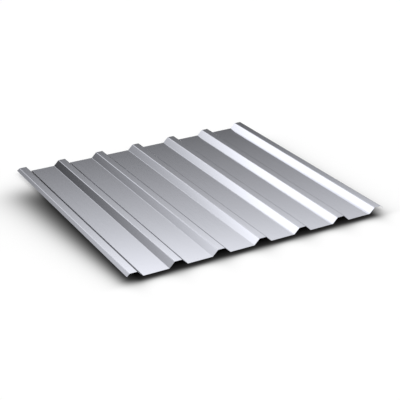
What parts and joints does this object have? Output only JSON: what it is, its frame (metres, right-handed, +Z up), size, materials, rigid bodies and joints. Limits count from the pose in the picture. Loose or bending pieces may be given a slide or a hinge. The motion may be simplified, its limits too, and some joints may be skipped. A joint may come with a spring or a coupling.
{
  "type": "corrugated metal sheet",
  "caption": "Trapezoidal corrugated metal sheet lying flat: narrow box ribs with sloping webs between wide flat pans, and a short free lip along each long edge.",
  "frame": {"origin": "under the middle of the sheet, in the plane of the pans' undersides", "axes": "+X across the ribs, +Y along the ribs, +Z up out of the pans towards the crowns"},
  "size_m": [0.96, 0.9, 0.0196],
  "materials": {
    "galvanised_steel": "bare zinc-coated steel, bright and satin, cool grey"
  },
  "bodies": {
    "root": {"corrugated_sheet": "galvanised_steel"}
  },
  "joints": []
}
